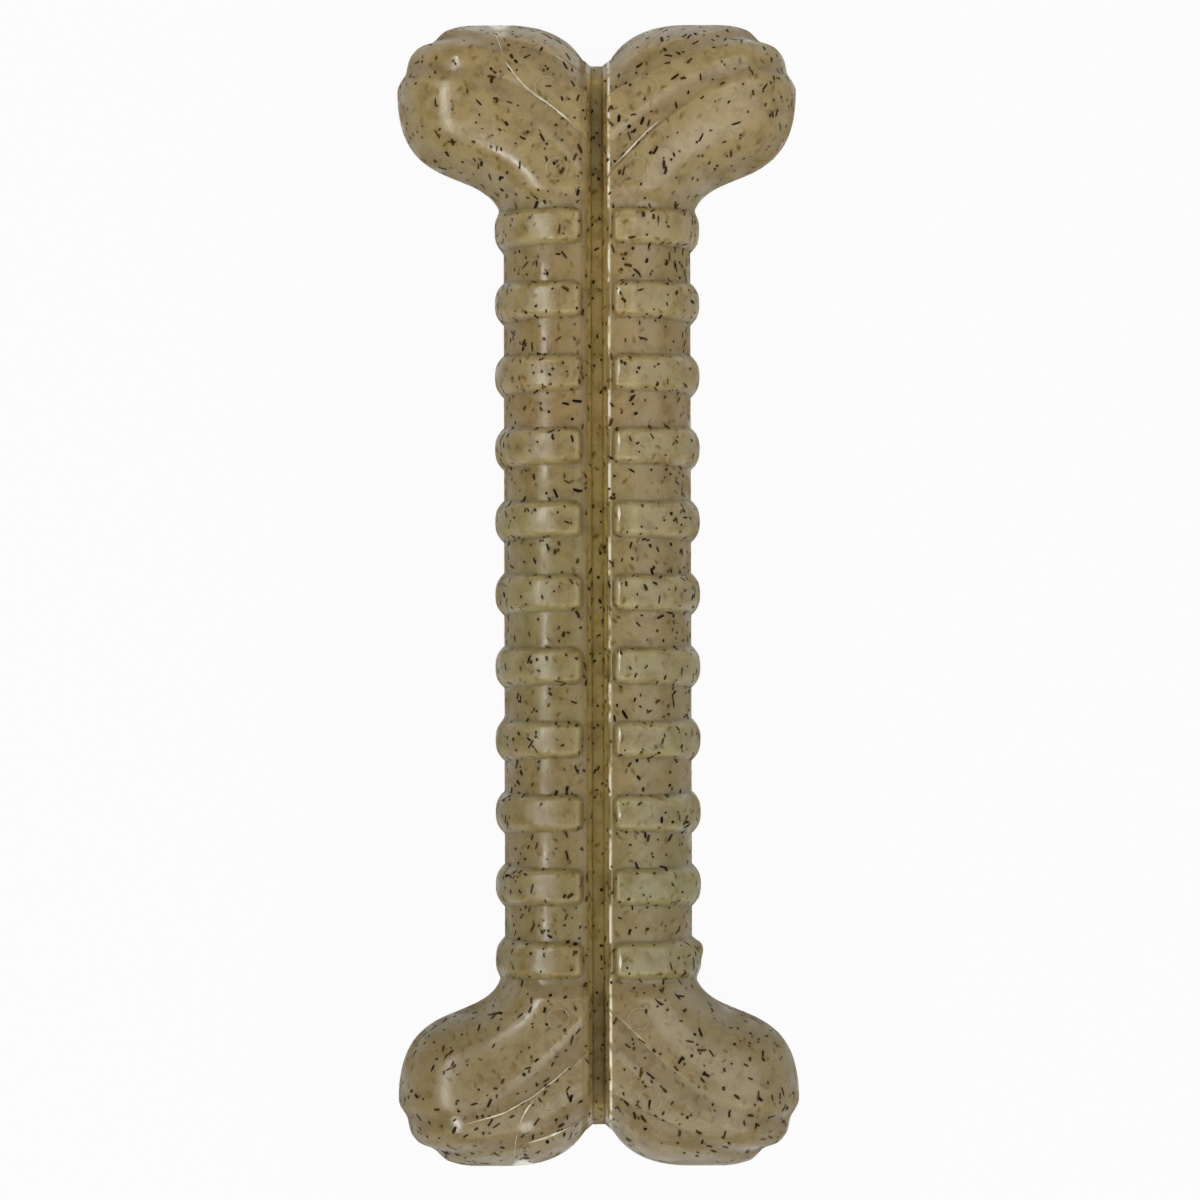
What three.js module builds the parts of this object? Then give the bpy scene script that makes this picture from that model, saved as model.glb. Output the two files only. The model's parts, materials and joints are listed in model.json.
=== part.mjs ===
// A nylon chew bone: two ribbed sides with fanned knuckles, and a centre strip between them.
// The long axis runs along Y, the width along X, and the bone lies on Z = 0.
import * as THREE from "three";

// Overall sizes, in millimetres
const LENGTH = 178; // end to end, over the knuckles
const KNUCKLE_SPAN = 62.4; // across one pair of knuckles
const KNUCKLE_LENGTH = 29.2; // from the end of the bone to the crease beside the last rib
const SHAFT_WIDTH = 29.2; // across the shaft, between two ribs
const SHAFT_THICKNESS = 21.8; // through the shaft, between two ribs
const EDGE_ROUND = 10.5; // how far the rounding of the shaft's edge reaches in from the outline
const LOBE_ROUND = 13.5; // the same on the flank of a knuckle's lobe
const END_ROUND = 9; // the same at the end of a knuckle
const LOBE_LEAD = 14; // the flank's rounding is widest this far before the widest point
const KNUCKLE_RISE = 3; // length over which the shaft rises to the knuckle's own thickness

// The groove along the middle of both faces, and the strip at its floor
const GROOVE_WIDTH = 4.1; // between the two lips
const GROOVE_DEPTH = 2.4; // below the shaft's face
const STRIP_THICKNESS = 1.7;

// The ribs across the shaft
const RIB_PITCH = 11.33;
const RIB_LENGTH = 5.5; // along the shaft
const RIB_HEIGHT = 1.4;
const RIB_SETBACK = 0.3; // from the groove's lip to the foot of a rib's inner end
const RIB_ROUND = 1.5; // rounding of a rib's long edges and inner end

// The outline of a knuckle
const FLARE_LEAD = 3.6; // the outline begins to swell this far before the crease
const FLARE_PULL = 12.7; // how long it holds the shaft's direction
const TIP_SETBACK = 10.4; // from the end of the bone to the widest point
const TIP_PULL_SHAFT = 18.4; // how long it holds the width, towards the shaft
const TIP_PULL_END = 5.2; // how long it holds the width, towards the end
const END_EDGE_INNER = 14.2; // the straight end edge, from the centre line
const END_EDGE_OUTER = 19;
const END_PULL_OUTER = 6.8;
const END_PULL_INNER = 6.7;
const NOTCH_DEPTH = 6.4; // of the notch between two knuckles, below the end of the bone
const NOTCH_LIP = 2.1; // half the width of the notch where its round floor begins
const NOTCH_LIP_RISE = 0.9; // height of that place above the floor
const NOTCH_WALL_RUN = 2; // the notch's wall leans out by this much
const NOTCH_WALL_RISE = 3.2; // for this much height
const NOTCH_LAND = 0.25; // flat wall at the bottom of the notch, in from the outline

// The petals of a knuckle and the two valleys between them.
// A root is measured along the groove, a mouth along the outline.
const LOBE_ROOT = 3.9; // the main lobe, next to the shaft
const VALLEY_1_ROOT = 7.8;
const VALLEY_2_ROOT = 4.6;
const END_PETAL_ROOT = 2.2;
const VALLEY_1_START = 0.1; // from the widest point of the outline to the first valley
const VALLEY_1_MOUTH = 6.2;
const VALLEY_2_START = 7.1;
const VALLEY_2_MOUTH = 6;
const VALLEY_DEPTH = 0.6;
const VALLEY_WALL = 0.28; // share of a valley's width that each wall takes
const FAN_SWEEP = 2.35; // how fast the valleys turn from the groove towards the outline
const END_SWEEP = 0.65; // share of that turn left where the outline faces the end of the bone

// Fineness of the facets
const LOBE_STEPS = 9;
const PETAL_STEPS = 3;
const END_PETAL_STEPS = 11;
const FLANK_SHARES = [0.16, 0.33, 0.48, 0.62, 0.75, 0.87, 0.96, 1];
const OUTLINE_DIVISIONS = 60;
const ROUND_STEP = 1 / 3; // where a rib's rounding has its middle line
const STRIP_END_FACETS = 8;
const BISECTIONS = 40;

// Looks
const SIDE_COLOR = "#867856";
const STRIP_COLOR = "#6f5c37";
const ROUGHNESS = 0.42;

const halfLength = LENGTH / 2;
const halfSpan = KNUCKLE_SPAN / 2;
const halfWidth = SHAFT_WIDTH / 2;
const halfThickness = SHAFT_THICKNESS / 2;
const restHeight = halfThickness + RIB_HEIGHT;
const lipX = GROOVE_WIDTH / 2;
const stripX = STRIP_THICKNESS / 2;
const floorZ = halfThickness - GROOVE_DEPTH;
const creaseY = halfLength - KNUCKLE_LENGTH;
const flareY = creaseY - FLARE_LEAD;
const tipY = halfLength - TIP_SETBACK;
const notchY = halfLength - NOTCH_DEPTH;
const notchLipY = notchY + NOTCH_LIP_RISE;
const rootEndY = notchLipY - NOTCH_LAND;
const stripEndY = notchY - NOTCH_LAND;
const faceLength = halfWidth - lipX;

// Half of the bone's right-hand outline, from the middle of the shaft to the notch
const outline = new THREE.Path();
outline.moveTo(halfWidth, 0);
outline.lineTo(halfWidth, flareY);
outline.bezierCurveTo(halfWidth, flareY + FLARE_PULL, halfSpan, tipY - TIP_PULL_SHAFT, halfSpan, tipY);
outline.bezierCurveTo(
  halfSpan,
  tipY + TIP_PULL_END,
  END_EDGE_OUTER + END_PULL_OUTER,
  halfLength,
  END_EDGE_OUTER,
  halfLength,
);
outline.lineTo(END_EDGE_INNER, halfLength);
outline.bezierCurveTo(
  END_EDGE_INNER - END_PULL_INNER,
  halfLength,
  NOTCH_LIP + NOTCH_WALL_RUN,
  notchLipY + NOTCH_WALL_RISE,
  NOTCH_LIP,
  notchLipY,
);
outline.quadraticCurveTo(lipX / 2, notchY, 0, notchY);

const outlineLengths = outline.getCurveLengths();
const outlineLength = outline.getLength();
const tipArc = outlineLengths[1];
const endArc = outlineLengths[2];
const notchLipArc = outlineLengths[4];
const outlinePoints = outline.getPoints(OUTLINE_DIVISIONS);

// The outline's point and outward normal at a length along it.
function outlineAt(arc) {
  const share = Math.min(arc / outlineLength, 1);
  const tangent = outline.getTangent(share);
  return { point: outline.getPoint(share), normal: new THREE.Vector2(tangent.y, -tangent.x) };
}

// The length along the outline at which it reaches a height between the shaft's middle and the tip.
function arcAtHeight(height) {
  let low = 0;
  let high = tipArc;
  for (let i = 0; i < BISECTIONS; i += 1) {
    const middle = (low + high) / 2;
    if (outlineAt(middle).point.y < height) {
      low = middle;
    } else {
      high = middle;
    }
  }
  return low;
}

const creaseArc = arcAtHeight(creaseY);

// How far the rounding of the edge reaches in, at a length along the outline.
function roundingAt(arc) {
  const lobe = THREE.MathUtils.smoothstep(arc, creaseArc, tipArc - LOBE_LEAD);
  const end = THREE.MathUtils.smoothstep(arc, tipArc, endArc);
  return EDGE_ROUND + (LOBE_ROUND - EDGE_ROUND) * lobe + (END_ROUND - LOBE_ROUND) * end;
}

let outlineRun = 0;
const outlineRoundings = outlinePoints.map((point, i) => {
  outlineRun += i > 0 ? point.distanceTo(outlinePoints[i - 1]) : 0;
  return roundingAt(outlineRun);
});

// The edge that rounds a point in plan the most: the point's distance in from it, and its reach.
function edgeNear(point) {
  const segment = new THREE.Line3();
  const nearest = new THREE.Vector3();
  const probe = new THREE.Vector3(point.x, point.y, 0);
  let best = { distance: Infinity, reach: 1 };
  let side = 1;
  for (let i = 1; i < outlinePoints.length; i += 1) {
    const from = outlinePoints[i - 1];
    const to = outlinePoints[i];
    segment.start.set(from.x, from.y, 0);
    segment.end.set(to.x, to.y, 0);
    const along = segment.closestPointToPointParameter(probe, true);
    segment.at(along, nearest);
    const distance = nearest.distanceTo(probe);
    const reach = THREE.MathUtils.lerp(outlineRoundings[i - 1], outlineRoundings[i], along);
    if (distance / reach < best.distance / best.reach) {
      best = { distance, reach };
      side = Math.sign((to.y - from.y) * (nearest.x - point.x) - (to.x - from.x) * (nearest.y - point.y));
    }
  }
  return { distance: side < 0 ? -best.distance : best.distance, reach: best.reach };
}

// Height of a rounded edge, at a distance in from the outline.
function edgeHeight(distance, height, reach) {
  const inward = THREE.MathUtils.clamp(distance / reach, 0, 1);
  return height * Math.sqrt(1 - (1 - inward) ** 2);
}

// Height of the face above the middle plane. A relief raises or sinks it along its normal.
function faceHeight(point, relief) {
  const rise = RIB_HEIGHT * THREE.MathUtils.smoothstep(point.y, creaseY, creaseY + KNUCKLE_RISE);
  const { distance, reach } = edgeNear(point);
  return edgeHeight(distance + relief, halfThickness + rise + relief, reach + relief);
}

// Half the height of the strip, which is rounded at the notch.
function stripHeight(y) {
  return Math.min(floorZ, edgeHeight(notchY - y, halfThickness, END_ROUND));
}

// Where the lines across the face are sampled, from the groove's lip to the outline
const ribFoot = RIB_SETBACK / faceLength;
const ribTop = (RIB_SETBACK + RIB_ROUND) / faceLength;
const ribMiddle = THREE.MathUtils.lerp(ribFoot, ribTop, ROUND_STEP);
const flankShares = FLANK_SHARES.map((share) => THREE.MathUtils.lerp(ribTop, 1, share));
const acrossShares = [0, ribFoot, ribMiddle, ribTop, ...flankShares];

// How much of a rib's height it has, along its length: a round end over the rib's rounding.
function roundedEnd(distance) {
  const inward = THREE.MathUtils.clamp(distance / RIB_ROUND, 0, 1);
  return Math.sqrt(1 - (1 - inward) ** 2);
}

// One line across the face, from the groove to the outline, which it meets squarely on the flanks.
function station(rootY, arc, relief, isRib) {
  const { point: mouth, normal } = outlineAt(arc);
  mouth.addScaledVector(normal, relief);
  const sweep = THREE.MathUtils.clamp(FAN_SWEEP * (END_SWEEP + normal.x), 1, FAN_SWEEP);
  const points = acrossShares.map((share) => {
    const turned = 1 - (1 - share) ** sweep;
    const x = THREE.MathUtils.lerp(lipX, mouth.x, share);
    const y = THREE.MathUtils.lerp(rootY, mouth.y, turned);
    const kept = isRib ? roundedEnd((share - ribFoot) * faceLength) : 1;
    const z = share === 1 ? 0 : faceHeight(new THREE.Vector2(x, y), relief * kept);
    return new THREE.Vector3(x, y, z);
  });
  const knuckleY = THREE.MathUtils.mapLinear(rootY, creaseY, rootEndY, creaseY, stripEndY);
  return { points, stripY: rootY < creaseY ? rootY : knuckleY };
}

// The lines over the shaft: each rib rises from its two feet to a flat crown.
function shaftStations() {
  const count = Math.floor((2 * creaseY - RIB_LENGTH) / RIB_PITCH) + 1;
  const insets = [0, RIB_ROUND * ROUND_STEP, RIB_ROUND];
  const offsets = [
    ...insets.map((inset) => inset - RIB_LENGTH / 2),
    ...insets.map((inset) => RIB_LENGTH / 2 - inset).reverse(),
  ];
  const stations = [];
  for (let rib = 0; rib < count; rib += 1) {
    const centre = (rib - (count - 1) / 2) * RIB_PITCH;
    for (const offset of offsets) {
      const y = centre + offset;
      if (y > 0) {
        const relief = RIB_HEIGHT * roundedEnd(RIB_LENGTH / 2 - Math.abs(offset));
        stations.push(station(y, arcAtHeight(y), relief, true));
      }
    }
  }
  return stations;
}

// The lines over one knuckle, fanned from the groove: lobe, valley, petal, valley, end petal.
function knuckleStations() {
  const petalRoot = rootEndY - creaseY - LOBE_ROOT - VALLEY_1_ROOT - VALLEY_2_ROOT - END_PETAL_ROOT;
  const valley1 = tipArc + VALLEY_1_START;
  const valley2 = tipArc + VALLEY_2_START;
  const mouthEnd = notchLipArc - NOTCH_LIP_RISE;
  const even = (steps) => Array.from({ length: steps }, (_, i) => [(i + 1) / steps, 0]);
  const valley = [
    [VALLEY_WALL, -VALLEY_DEPTH],
    [1 - VALLEY_WALL, -VALLEY_DEPTH],
    [1, 0],
  ];
  const panels = [
    { root: LOBE_ROOT, from: creaseArc, to: valley1, steps: even(LOBE_STEPS) },
    { root: VALLEY_1_ROOT, from: valley1, to: valley1 + VALLEY_1_MOUTH, steps: valley },
    { root: petalRoot, from: valley1 + VALLEY_1_MOUTH, to: valley2, steps: even(PETAL_STEPS) },
    { root: VALLEY_2_ROOT, from: valley2, to: valley2 + VALLEY_2_MOUTH, steps: valley },
    { root: END_PETAL_ROOT, from: valley2 + VALLEY_2_MOUTH, to: mouthEnd, steps: even(END_PETAL_STEPS) },
  ];
  const stations = [station(creaseY, creaseArc, 0, false)];
  let rootY = creaseY;
  for (const panel of panels) {
    for (const [share, relief] of panel.steps) {
      const arc = THREE.MathUtils.lerp(panel.from, panel.to, share);
      stations.push(station(rootY + panel.root * share, arc, relief, false));
    }
    rootY += panel.root;
  }
  return stations;
}

// The station's mirror image at the other end of the bone.
function mirrored(source) {
  return {
    points: source.points.map((point) => new THREE.Vector3(point.x, -point.y, point.z)),
    stripY: -source.stripY,
  };
}

// One side of the bone: a skin over all stations, closed by the flat face on the strip and two end walls.
function sideGeometry(sign) {
  const half = [...shaftStations(), ...knuckleStations()];
  const stations = [...half.map(mirrored).reverse(), ...half];
  const last = acrossShares.length - 1;
  const ring = 2 * last + 3;
  const positions = [];
  for (const { points, stripY } of stations) {
    const z = stripHeight(Math.abs(stripY));
    positions.push(stripX, stripY, -z, stripX, stripY, z);
    points.forEach((point) => positions.push(point.x, point.y, point.z));
    points.slice(0, -1).reverse().forEach((point) => positions.push(point.x, point.y, -point.z));
  }
  for (let i = 0; i < positions.length; i += 3) {
    positions[i] *= sign;
  }

  const triangles = [];
  const addQuad = (a, b, c, d) => triangles.push(a, b, c, a, c, d);
  for (let s = 0; s < stations.length - 1; s += 1) {
    for (let i = 0; i < ring; i += 1) {
      const j = (i + 1) % ring;
      addQuad(s * ring + i, s * ring + j, (s + 1) * ring + j, (s + 1) * ring + i);
    }
  }
  const endStart = (stations.length - 1) * ring;
  for (let k = 0; k < last; k += 1) {
    const [upper, upperNext] = [k + 1, k + 2];
    const [lower, lowerNext] = [(ring - k) % ring, ring - k - 1];
    addQuad(endStart + upper, endStart + upperNext, endStart + lowerNext, endStart + lower);
    addQuad(lower, lowerNext, upperNext, upper);
  }
  const [upper, tip, lower] = [last + 1, last + 2, last + 3];
  triangles.push(endStart + upper, endStart + tip, endStart + lower, lower, tip, upper);
  if (sign < 0) {
    triangles.reverse();
  }

  const geometry = new THREE.BufferGeometry();
  geometry.setAttribute("position", new THREE.Float32BufferAttribute(positions, 3));
  geometry.setIndex(triangles);
  geometry.computeVertexNormals();
  return geometry;
}

// The strip: a straight bar whose ends are rounded like the notch.
function stripGeometry() {
  const arcCentre = notchY - END_ROUND;
  const arcAngle = Math.asin(floorZ / halfThickness);
  const profile = new THREE.Shape();
  profile.absellipse(arcCentre, 0, END_ROUND, halfThickness, -arcAngle, arcAngle);
  profile.absellipse(-arcCentre, 0, END_ROUND, halfThickness, Math.PI - arcAngle, Math.PI + arcAngle);
  profile.closePath();
  const geometry = new THREE.ExtrudeGeometry(profile, {
    depth: STRIP_THICKNESS,
    bevelEnabled: false,
    curveSegments: STRIP_END_FACETS,
  });
  geometry.translate(0, 0, -stripX);
  geometry.applyMatrix4(
    new THREE.Matrix4().makeBasis(
      new THREE.Vector3(0, 1, 0),
      new THREE.Vector3(0, 0, 1),
      new THREE.Vector3(1, 0, 0),
    ),
  );
  return geometry;
}

function addPiece(group, name, geometry, color) {
  const material = new THREE.MeshStandardMaterial({ color, roughness: ROUGHNESS, metalness: 0 });
  const mesh = new THREE.Mesh(geometry, material);
  mesh.name = name;
  mesh.position.z = restHeight;
  group.add(mesh);
}

const bone = new THREE.Group();
addPiece(bone, "left_side", sideGeometry(-1), SIDE_COLOR);
addPiece(bone, "right_side", sideGeometry(1), SIDE_COLOR);
addPiece(bone, "centre_strip", stripGeometry(), STRIP_COLOR);

export default bone;
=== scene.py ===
"""A nylon chew bone: two ribbed sides with fanned knuckles, a groove between them, and dark fibre flecks."""

import json
import math
from types import SimpleNamespace

import bpy
import numpy as np
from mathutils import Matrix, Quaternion, Vector

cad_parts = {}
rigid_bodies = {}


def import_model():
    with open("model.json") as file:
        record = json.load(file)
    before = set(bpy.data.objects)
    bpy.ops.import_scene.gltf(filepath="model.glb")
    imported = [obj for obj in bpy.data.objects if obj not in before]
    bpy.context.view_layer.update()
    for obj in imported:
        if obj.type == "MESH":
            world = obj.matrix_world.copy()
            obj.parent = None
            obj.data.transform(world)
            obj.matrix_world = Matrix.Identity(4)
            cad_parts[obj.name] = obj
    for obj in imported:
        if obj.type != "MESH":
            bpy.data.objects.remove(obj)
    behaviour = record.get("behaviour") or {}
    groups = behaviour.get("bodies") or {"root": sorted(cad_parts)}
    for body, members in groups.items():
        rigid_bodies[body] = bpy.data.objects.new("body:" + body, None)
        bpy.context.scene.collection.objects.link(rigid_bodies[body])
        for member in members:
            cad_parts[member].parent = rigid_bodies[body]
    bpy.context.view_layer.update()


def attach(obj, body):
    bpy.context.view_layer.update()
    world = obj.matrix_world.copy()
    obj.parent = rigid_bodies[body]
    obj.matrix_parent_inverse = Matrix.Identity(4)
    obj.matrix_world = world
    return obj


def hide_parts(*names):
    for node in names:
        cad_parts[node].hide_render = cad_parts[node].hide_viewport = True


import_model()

MM = 0.001

# The bone's sizes, in millimetres, with the middle of the bone as the origin
HALF_LENGTH = 89.0
HALF_SPAN = 31.2
HALF_WIDTH = 14.6
HALF_THICKNESS = 10.9
REST_HEIGHT = 12.3
EDGE_ROUND = 10.5
LOBE_ROUND = 13.5
END_ROUND = 9.0
LOBE_LEAD = 14.0
LIP_X = 1.48
LIP_ROUND = 0.8
STRIP_X = 0.85
STRIP_ROUND = 0.06
GROOVE_DEPTH = 2.4
CREASE_Y = 59.8
KNUCKLE_RISE = 3.0
CROWN_X = 6.5
CROWN_DROP = 0.42
# Where the crown along the groove fades out, from the crease
CROWN_FADE = (-2, 4)

# Ribs. Their length and their setback from the groove are measured at half their height.
RIB_COUNT = 11
RIB_PITCH = 11.33
RIB_LENGTH = 5.05
RIB_HEIGHT = 1.4
RIB_SETBACK = 1.1
RIB_ROUND = 1.3
RIB_ROUND_RIM = 3.2
RIB_CORNER = 1.4
RIB_FLANK = ((0, 0), (0.04, 0.08), (0.09, 0.21), (0.2, 0.42), (0.33, 0.63), (0.45, 0.78), (0.58, 0.885), (0.72, 0.95),
             (0.88, 0.99), (1, 1))
RIB_HALF_SHARE = 0.25
# The share of the middle height over it at which a rib's rounding starts to grow
RIB_FACE_LEVEL = 0.8
# Where the ribs are worn flatter, out from the middle
WEAR_X = 8.2
WEAR_REACH = 2.7
WEAR_SHARE = 0.18

# The outline of a knuckle, and how far the handles of its curves reach from its bends
FLARE_LEAD = 3.6
TIP_INSET = 10.4
NOTCH_DEPTH = 6.4
NOTCH_LIP_RISE = 0.9
FLARE_Y = CREASE_Y - FLARE_LEAD
TIP_Y = HALF_LENGTH - TIP_INSET
NOTCH_Y = HALF_LENGTH - NOTCH_DEPTH
NOTCH_LIP = (2.1, NOTCH_Y + NOTCH_LIP_RISE)
END_EDGE = (14.2, 19.0)
FLARE_HANDLE = 12.7
TIP_HANDLES = (18.4, 5.2)
END_HANDLES = (6.7, 6.8)
NOTCH_HANDLE = (2, 3.2)
# Where the lines' roots and the strip stop, from the bottom of the notch
ROOT_END_Y = NOTCH_Y + 0.2
STRIP_END_Y = NOTCH_Y - 0.25
# How far before the notch's lip the last line meets the outline
LAST_MOUTH_LEAD = 0.9

# The lines that part a knuckle's panels. Each has its root along the groove, its mouth along the
# outline past the widest point, and how its two handles lean from the root towards the mouth.
STRAIGHT = (1 / 3, 1 / 3, 2 / 3, 2 / 3)
LOBE_EDGE = dict(root=63.55, mouth=0.1, lean=(0.34, 0.78, 0.65, 1.12))
PETAL_LOWER = dict(root=70.5, mouth=6.3, lean=(0.35, 0.64, 0.58, 0.92))
PETAL_UPPER = dict(root=76.25, mouth=7.1, lean=(0.16, 0.39, 0.74, 1.16))
END_PETAL = dict(root=80.6, mouth=13.1, lean=(0.26, 0.56, 0.69, 0.85))
VALLEY_DEPTHS_FACE = (0.36, 0.17)
VALLEY_DEPTH_MOUTH = 0.72
VALLEY_WALL_MOUTH = 0.5
VALLEY_DEEPENS = (0.6, 1)
VALLEY_PANELS = (1, 3)
END_PANEL = 4
# A valley's walls, as shares of its width at the groove, and where along it they widen to their share at the mouth
CRISP_WALL = (0.08, 0.2, 0.8)
SOFT_WALL = (0.3, 0.0, 0.6)

# Marks of the mould, seen on the upper face. Ejector pads: place and radius, then the rings of their rims.
PADS = ((7.8, 77.95, 1.85), (6.2, 65.4, 1.78))
PAD_INSETS = (0, 0.04, 0.1, 0.2, 0.34)
PAD_LIFTS = (-0.6, 0.4, 1.0, 0.8, -0.6)
# Painted highlights on the ribs' ends beside the groove, drawn as pale ridges: where along the bone, and half how long
RIB_END_HIGHLIGHTS = ((46.6, 1.0), (34.6, 1.7), (23.2, 1.5), (12.2, 1.6), (0.4, 1.7), (-10.4, 1.9), (-22.0, 1.6),
               (-34.0, 1.0), (-56.8, 1.5))
# Weld lines where the melt met, and pale ridges that paint highlights along some petal edges and on the ribs' ends
# beside the groove: half width and path
WELD_AND_HIGHLIGHT_LINES = {
    "left_side": (
        # A weld line that also paints the highlight along the petal's lower edge
        (0.2, ((-14.4, 82.4), (-12.6, 79.8), (-10.6, 77.6), (-7.2, 75.2), (-4.4, 72.9), (-3.1, 71.6))),
        (0.1, ((-16.3, 88.0), (-15.6, 86.6), (-14.9, 84.6), (-14.2, 82.1))),
        # A painted highlight along the end petal's edge
        (0.1, ((-7.0, 83.4), (-5.2, 82.5), (-3.8, 81.4), (-2.9, 80.2))),
        # A painted highlight along the petal's lower edge
        (0.14, ((-21.0, -81.8), (-14.6, -79.9), (-10.3, -77.5), (-7.0, -75.0), (-3.4, -71.8))),
        (0.2, ((-12.3, -82.2), (-11.9, -80.8), (-10.9, -79.0), (-9.6, -77.5))),
        (0.08, ((-13.2, -88.1), (-13.0, -86.0), (-12.7, -83.6), (-12.2, -81.9))),
        # A painted highlight along the end petal's edge
        (0.26, ((-10.9, -84.6), (-8.6, -84.0), (-6.2, -83.1), (-4.2, -82.2))),
    ),
    "right_side": (
        (0.16, ((2.2, 65.5), (3.2, 66.3), (6.2, 69.5), (8.4, 71.7), (10.4, 73.3))),
        (0.07, ((2.6, -64.6), (5.6, -67.6), (8.6, -70.4))),
    ) + tuple((0.34, ((3.3, y - reach), (3.34, y), (3.3, y + reach))) for y, reach in RIB_END_HIGHLIGHTS),
}
WELD_OFFSETS = (1, 0.45, 0, -0.45, -1)
WELD_LIFTS = (-0.6, 0.5, 1.0, 0.5, -0.6)
WELD_HEIGHT = 0.05
WELD_STEP = 0.3
WELD_TAPER = 2.5
# Stress-whitened spots: place, half sizes, strength
PALE_SPOTS = ((-15.1, 88.8, 1.6, 1.4, 1.0), (-14.8, 86.7, 1.0, 0.6, 0.5), (-11.8, -88.8, 1.6, 1.3, 1.0),
              (-11.2, -82.1, 1.1, 0.9, 0.35), (15.9, -55.2, 0.6, 1.1, 0.8))
SPOT_EDGE = (0.6, 1.2)
# The scar of the gate: place, how fast it falls off, height
GATE_SCAR = (14.6, -55.3, 0)
GATE_FALL = (0.6, 1.1, 0.35)
GATE_HEIGHT = 0.45
# The band along each lip, from the lip outwards: where it starts and where it ends. On the right it is whitened, partly
# wear and partly a painted highlight; on the left it carries painted shade
LIP_EDGES = {-1: ((0.05, 0.3), (0.8, 1.4)), 1: ((0.1, 0.25), (0.42, 0.62))}

# Flecks: how far down the groove's wall they go, how they fan out with the flow, and how they vary
FLECK_LOWEST = -0.5
FLOW_FAN = (0.05, 0.072)
FLOW_FAN_SHARE = 2.4
FLOW_NUDGE = 0.0003
FLECK_TURN = 0.8
FLECK_STOUTNESS = 0.9
# How far marks are dropped onto the skin, in metres
PRESS_DROP = 0.1

# How finely the skin is drawn
OUTLINE_STEPS = 160
LIP_OFFSETS = (0, 0.01, 0.03, 0.07, 0.13, 0.21, 0.31, 0.43, 0.57, 0.7, 0.8, 0.92, 1.05, 1.18, 1.32, 1.46, 1.62, 1.8,
               2.0, 2.25)
FACE_POINTS = 32
WALL_SHARES = (0, 0.45, 0.8)
WALL_FROM_LIP = (-1.0, -0.3, -0.15)
LINE_SAMPLES = 160
SKIN_STEP = 0.42
FLANK_LINES, TOP_LINES, WAIST_LINES = 19, 6, 9
PANEL_LINES, VALLEY_LINES = 12, 20
CRISP_WALL_LINES = (0.15, 0.3, 0.45, 0.6, 0.8)
# Steps of the outline, and how many of them are mirrored past the quarter's ends, below it and beside it
EDGE_STEP = 0.5
EDGE_BELOW, EDGE_BESIDE = 80, 60
EDGE_POWER = 8
EDGE_BLEND = (0.1, 0.35)
EDGE_BATCH = 4000


# Shape of the bone

def bezier(points, shares):
    """Points on a Bezier curve of any degree."""
    shares = np.asarray(shares, float)[:, None]
    rows = [np.asarray(p, float)[None, :] for p in points]
    while len(rows) > 1:
        rows = [a + (b - a) * shares for a, b in zip(rows, rows[1:])]
    return rows[0]


def smooth_step(low, high, value):
    share = np.clip((value - low) / (high - low), 0, 1)
    return share * share * (3 - 2 * share)


def draw_outline():
    """A quarter of the bone's outline, from the middle of the shaft to the notch, and how far its bends are."""
    shares = np.linspace(0, 1, OUTLINE_STEPS + 1)
    flare, tip = (HALF_WIDTH, FLARE_Y), (HALF_SPAN, TIP_Y)
    inner, outer = [(x, HALF_LENGTH) for x in END_EDGE]
    stretches = [
        [(HALF_WIDTH, 0), flare],
        [flare, (HALF_WIDTH, FLARE_Y + FLARE_HANDLE), (HALF_SPAN, TIP_Y - TIP_HANDLES[0]), tip],
        [tip, (HALF_SPAN, TIP_Y + TIP_HANDLES[1]), (outer[0] + END_HANDLES[1], HALF_LENGTH), outer],
        [outer, inner],
        [inner, (inner[0] - END_HANDLES[0], HALF_LENGTH),
         (NOTCH_LIP[0] + NOTCH_HANDLE[0], NOTCH_LIP[1] + NOTCH_HANDLE[1]), NOTCH_LIP],
        [NOTCH_LIP, (LIP_X / 2, NOTCH_Y), (0, NOTCH_Y)],
    ]
    runs = [bezier(points, shares) for points in stretches]
    points = np.concatenate([runs[0]] + [run[1:] for run in runs[1:]])
    arcs = np.concatenate([[0], np.cumsum(np.linalg.norm(np.diff(points, axis=0), axis=1))])
    return points, arcs, arcs[OUTLINE_STEPS::OUTLINE_STEPS]


OUTLINE, OUTLINE_ARCS, OUTLINE_BENDS = draw_outline()
TIP_ARC = OUTLINE_BENDS[1]
END_ARC = OUTLINE_BENDS[2]
NOTCH_LIP_ARC = OUTLINE_BENDS[4]


def outline_at(arc):
    return np.stack([np.interp(arc, OUTLINE_ARCS, OUTLINE[:, i]) for i in (0, 1)], axis=-1)


def flank_arc(y):
    """The length along the outline at which the shaft or a lobe's flank reaches a height."""
    flank = slice(2 * OUTLINE_STEPS + 1)
    return np.interp(y, OUTLINE[flank, 1], OUTLINE_ARCS[flank])


def rounding_at(arc):
    """How far the rounding of the edge reaches in."""
    lobe = smooth_step(flank_arc(CREASE_Y), TIP_ARC - LOBE_LEAD, arc)
    end = smooth_step(TIP_ARC, END_ARC, arc)
    return EDGE_ROUND + (LOBE_ROUND - EDGE_ROUND) * lobe + (END_ROUND - LOBE_ROUND) * end


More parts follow.
